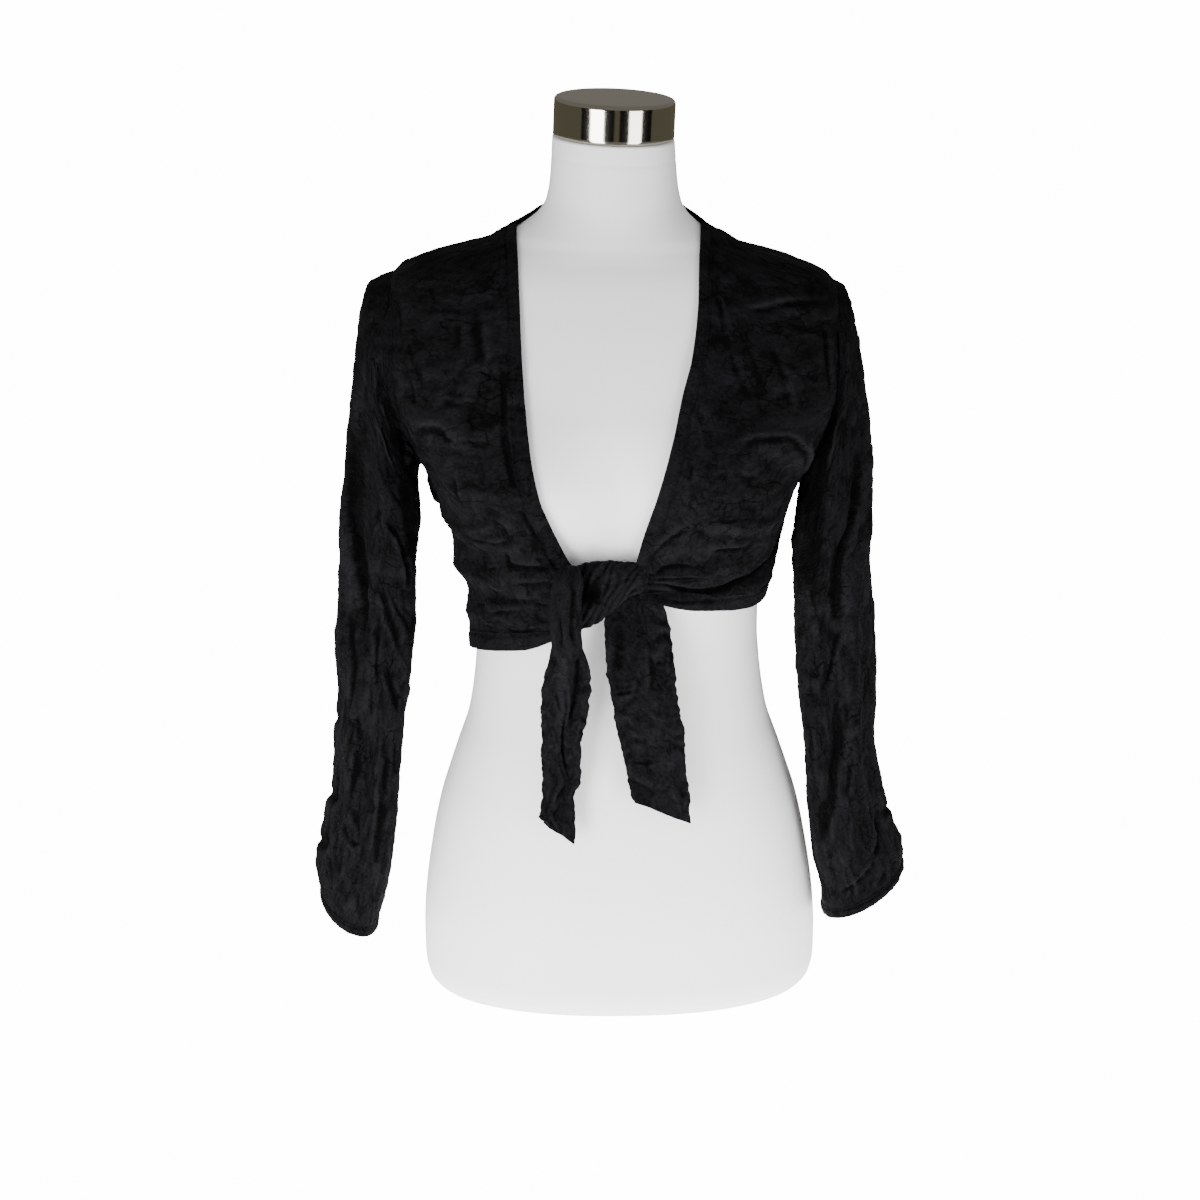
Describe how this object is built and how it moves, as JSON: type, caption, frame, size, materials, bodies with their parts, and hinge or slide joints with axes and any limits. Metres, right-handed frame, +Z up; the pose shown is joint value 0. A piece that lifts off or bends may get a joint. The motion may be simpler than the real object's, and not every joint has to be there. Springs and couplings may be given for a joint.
{
  "type": "knitted shrug on a dress form",
  "caption": "Cropped knitted shrug with long sleeves, crinkled and tied in a knot at the front, worn on a smooth limbless dress form with a metal neck cap.",
  "frame": {"origin": "middle of the object's box, on the flat base that the dress form stands on", "axes": "+Z up, -Y the way the form faces, +X towards the wearer's left"},
  "size_m": [0.5082, 0.2624, 0.7593],
  "materials": {
    "black_knit": "fine crinkled black knit with a faint cool sheen",
    "form_shell": "smooth satin white shell",
    "cap_metal": "polished turned metal cap"
  },
  "bodies": {
    "root": {"back": "black_knit", "cuff_hem_left": "black_knit", "cuff_hem_right": "black_knit", "form_cap": "cap_metal", "form_torso": "form_shell", "front_left": "black_knit", "front_right": "black_knit", "hem_band_back": "black_knit", "hem_band_left": "black_knit", "hem_band_right": "black_knit", "neck_band_back": "black_knit", "neck_band_left": "black_knit", "neck_band_right": "black_knit", "sleeve_left": "black_knit", "sleeve_right": "black_knit", "tie_knot_strand": "black_knit", "tie_knot_wrap": "black_knit", "tie_tail_left": "black_knit", "tie_tail_right": "black_knit"}
  },
  "joints": []
}
